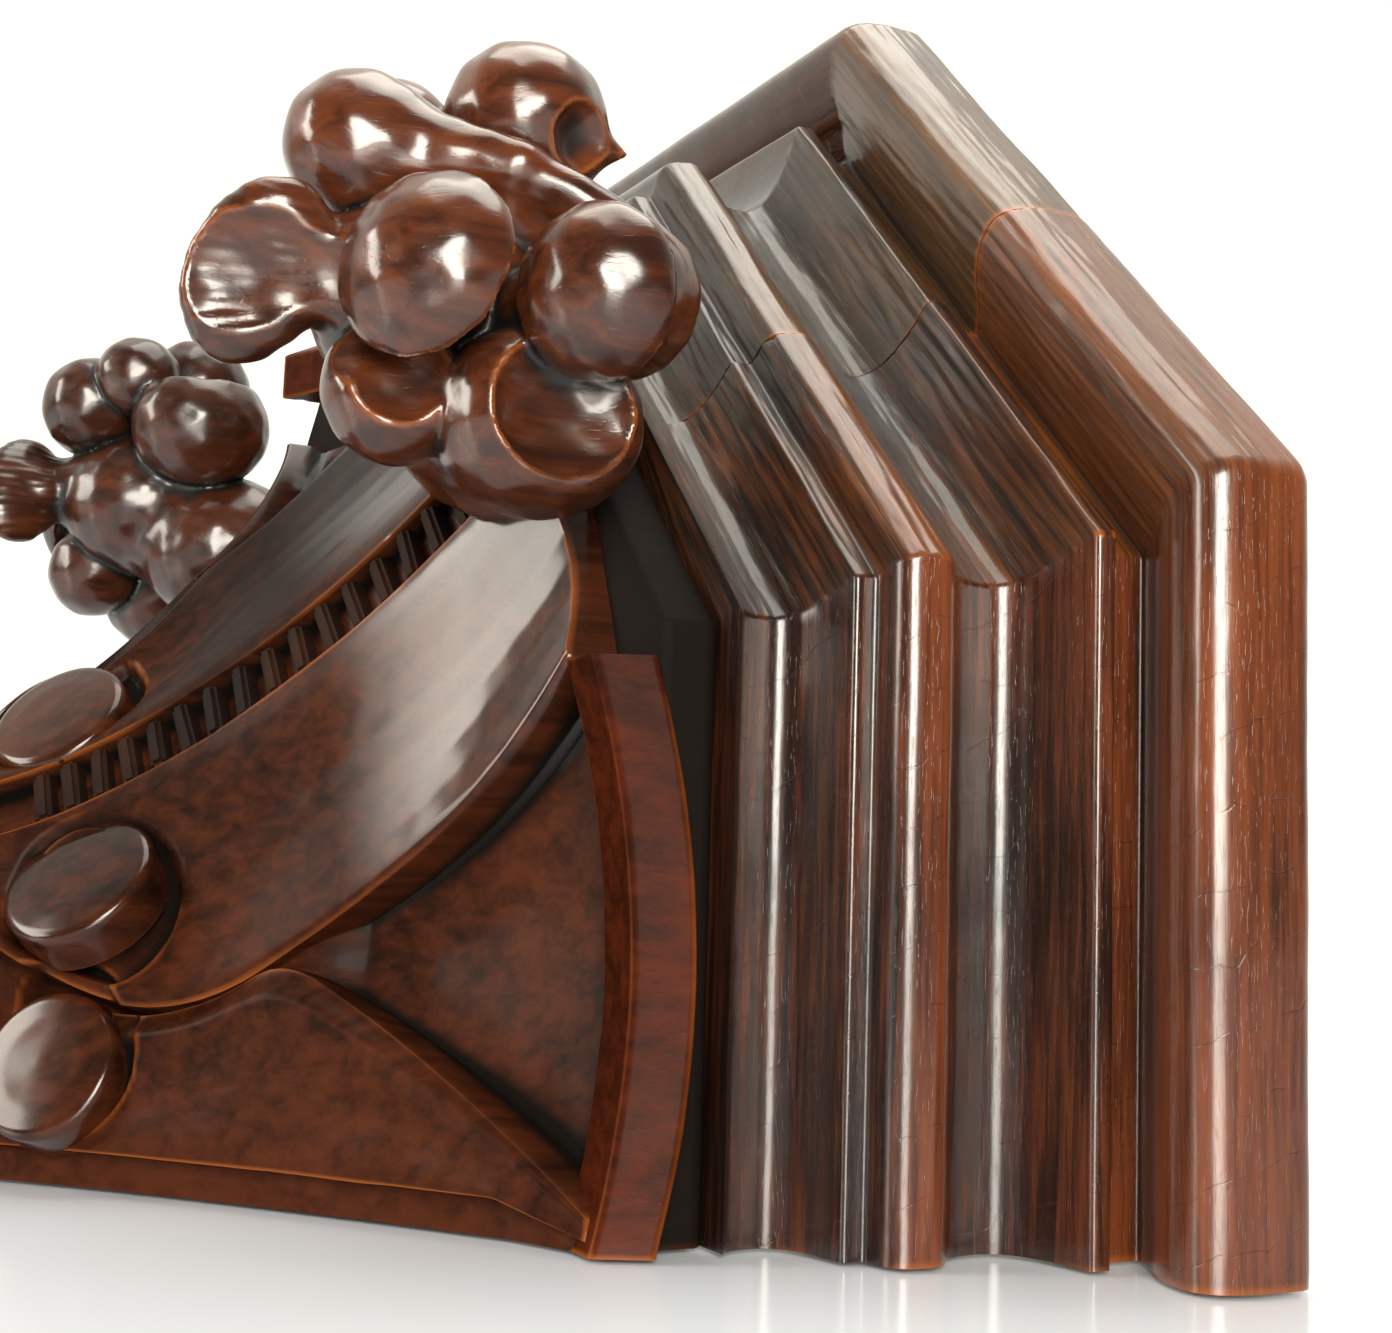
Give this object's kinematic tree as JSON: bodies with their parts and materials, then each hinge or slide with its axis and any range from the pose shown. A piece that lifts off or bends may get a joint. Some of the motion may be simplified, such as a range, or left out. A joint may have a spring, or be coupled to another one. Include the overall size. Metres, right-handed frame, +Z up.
{
  "type": "carved wall shelf",
  "caption": "Small wall shelf: moulded cornice with canted corners on a carved corbel of fluted ribs, volutes and leafy bosses.",
  "frame": {"origin": "on the back face, in the middle of its width and 40 mm below the top of the shelf", "axes": "+Z up as it hangs, +Y into the wall, +X along its width"},
  "size_m": [0.3, 0.1805, 0.1801],
  "materials": {
    "carved_wood": "dark reddish brown French polish, glossy, near black in the hollows, worn orange on the arrises",
    "moulding_wood": "reddish brown French polish, glossy, fine cross crazing, rough end grain on the canted corners"
  },
  "bodies": {
    "root": {"carved_corbel": "carved_wood", "front_moulding": "moulding_wood", "right_moulding": "moulding_wood", "left_moulding": "moulding_wood"}
  },
  "joints": []
}
